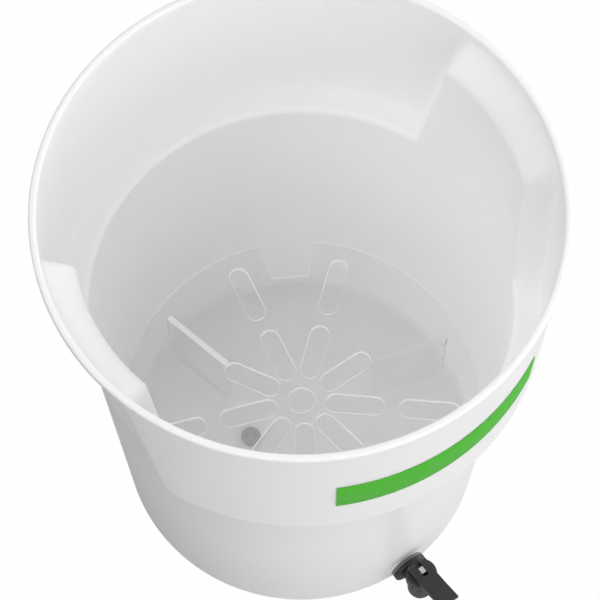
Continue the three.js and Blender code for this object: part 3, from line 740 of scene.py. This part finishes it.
def pale_floor_material():
    """Where it is seen, the floor is close to white and keeps a part of its shadow, and a
    gloss shows it paler than it is. For all other light it is a plain pale surface."""
    material = bpy.data.materials.new("pale_floor")
    material.use_nodes = True
    tree = material.node_tree
    shader = tree.nodes["Principled BSDF"]
    shader.inputs["Roughness"].default_value = 0.9
    grain = tree.nodes.new("ShaderNodeTexNoise")
    grain.inputs["Scale"].default_value = 3
    tone = tree.nodes.new("ShaderNodeMix")
    tone.data_type = "RGBA"
    tone.inputs["A"].default_value = (0.3, 0.3, 0.3, 1)
    tone.inputs["B"].default_value = (0.34, 0.34, 0.34, 1)
    glow = tree.nodes.new("ShaderNodeEmission")
    glow.inputs["Color"].default_value = (1, 1, 1, 1)
    glow.inputs["Strength"].default_value = floor_glow
    mixed = tree.nodes.new("ShaderNodeMixShader")
    share = tree.nodes.new("ShaderNodeMath")
    share.operation = "MULTIPLY"
    share.inputs[1].default_value = floor_seen
    link = tree.links.new
    link(grain.outputs["Fac"], tone.inputs["Factor"])
    link(tone.outputs["Result"], shader.inputs["Base Color"])
    link(background_share(tree, floor_in_gloss), share.inputs[0])
    link(share.outputs[0], mixed.inputs[0])
    link(shader.outputs[0], mixed.inputs[1])
    link(glow.outputs[0], mixed.inputs[2])
    link(mixed.outputs[0], tree.nodes["Material Output"].inputs["Surface"])
    return material


floor_mesh = bpy.data.meshes.new("studio_floor")
floor_mesh.from_pydata([(-6, -6, -0.0005), (6, -6, -0.0005), (6, 6, -0.0005), (-6, 6, -0.0005)],
                       [], [(0, 1, 2, 3)])
floor = bpy.data.objects.new("studio_floor", floor_mesh)
floor.data.materials.append(pale_floor_material())
bpy.context.scene.collection.objects.link(floor)


def studio_world():
    """A dome of soft light, strongest high up and weaker overhead, whose low left side is
    in shade. Where it is seen it is plain white."""
    world = bpy.data.worlds.new("studio")
    world.use_nodes = True
    tree = world.node_tree
    link = tree.links.new
    place = tree.nodes.new("ShaderNodeTexCoord")
    parts = tree.nodes.new("ShaderNodeSeparateXYZ")
    link(place.outputs["Generated"], parts.inputs[0])
    sideways = tree.nodes.new("ShaderNodeVectorMath")
    sideways.operation = "DOT_PRODUCT"
    sideways.inputs[1].default_value = (0.819, -0.574, 0)
    link(place.outputs["Generated"], sideways.inputs[0])
    dome = tree.nodes.new("ShaderNodeValToRGB")
    stops = dome.color_ramp.elements
    while len(stops) < len(dome_light):
        stops.new(0.5)
    for stop, (height, light) in zip(stops, dome_light):
        stop.position = height
        stop.color = (light, light, light, 1)
    link(parts.outputs["Z"], dome.inputs["Fac"])
    shade = tree.nodes.new("ShaderNodeMath")
    shade.operation = "MULTIPLY"
    for socket, measure, ends, values in ((0, sideways.outputs["Value"], (-0.8, 0.2), (1, 0)),
                                          (1, parts.outputs["Z"], (0.35, 0.7), (left_shade, 0))):
        slope = tree.nodes.new("ShaderNodeMapRange")
        slope.inputs["From Min"].default_value, slope.inputs["From Max"].default_value = ends
        slope.inputs["To Min"].default_value, slope.inputs["To Max"].default_value = values
        link(measure, slope.inputs["Value"])
        link(slope.outputs["Result"], shade.inputs[socket])
    shaded = tree.nodes.new("ShaderNodeMix")
    shaded.data_type = "RGBA"
    shaded.inputs["B"].default_value = (0, 0, 0, 1)
    link(shade.outputs[0], shaded.inputs["Factor"])
    link(dome.outputs["Color"], shaded.inputs["A"])
    ambient = tree.nodes["Background"]
    ambient.inputs["Strength"].default_value = dome_strength
    link(shaded.outputs["Result"], ambient.inputs["Color"])
    backdrop = tree.nodes.new("ShaderNodeBackground")
    backdrop.inputs["Color"].default_value = (1, 1, 1, 1)
    either = tree.nodes.new("ShaderNodeMixShader")
    link(background_share(tree, 1.0), either.inputs[0])
    link(ambient.outputs[0], either.inputs[1])
    link(backdrop.outputs[0], either.inputs[2])
    link(either.outputs[0], tree.nodes["World Output"].inputs["Surface"])
    return world


dome_light = ((0.0, 0.38), (0.3, 0.5), (0.5, 0.74), (0.75, 0.97), (1.0, 0.6))
dome_strength = 1.14
left_shade = 0.95
bpy.context.scene.world = studio_world()


def soft_lamp(name, place, aim, size, power):
    """A square lamp of the given size that faces its aim."""
    data = bpy.data.lights.new(name, "AREA")
    data.size = size
    data.energy = power
    lamp = bpy.data.objects.new(name, data)
    lamp.location = place
    direction = Matrix.Translation(aim).translation - lamp.location
    lamp.rotation_euler = direction.to_track_quat("-Z", "Y").to_euler()
    lamp.visible_camera = False
    bpy.context.scene.collection.objects.link(lamp)


soft_lamp("front_lamp", (0.2, -2.9, 0.6), (0, 0, 0.25), 2.4, 49)
soft_lamp("side_lamp", (2.4, -0.2, 0.25), (0, 0, 0.25), 0.9, 20)
soft_lamp("overhead_lamp", (-1.0, 0.5, 2.4), (0.1, 0, 0.2), 1.0, 7)

# The camera stands 1.89 m away, 35 degrees to the left of the front and 65.6 degrees up,
# with a long lens, as worked out from the rim, the collar and the ledge in the photograph.

turn, lift = math.radians(-35), math.radians(65.57)
distance, pixels, roll = 1.8858, 2499.6, math.radians(0.21)
back = np.array([math.sin(turn) * math.cos(lift), -math.cos(turn) * math.cos(lift), math.sin(lift)])
right = np.array([math.cos(turn), math.sin(turn), 0])
up = np.cross(back, right)
place = np.array([0, 0, 0.2814]) - 0.00067 * right + distance * back
tilted_right = math.cos(roll) * right - math.sin(roll) * up
tilted_up = math.sin(roll) * right + math.cos(roll) * up
camera_data = bpy.data.cameras.new("camera")
camera_data.sensor_width = 36
camera_data.lens = 36 * pixels / 600
camera = bpy.data.objects.new("camera", camera_data)
stand = Matrix.Identity(4)
for i, axis in enumerate((tilted_right, tilted_up, back, place)):
    for j in range(3):
        stand[j][i] = axis[j]
camera.matrix_world = stand
bpy.context.scene.collection.objects.link(camera)
bpy.context.scene.camera = camera
bpy.context.scene.view_settings.view_transform = "Standard"
bpy.context.scene.cycles.diffuse_bounces = 12
bpy.context.scene.cycles.max_bounces = 16
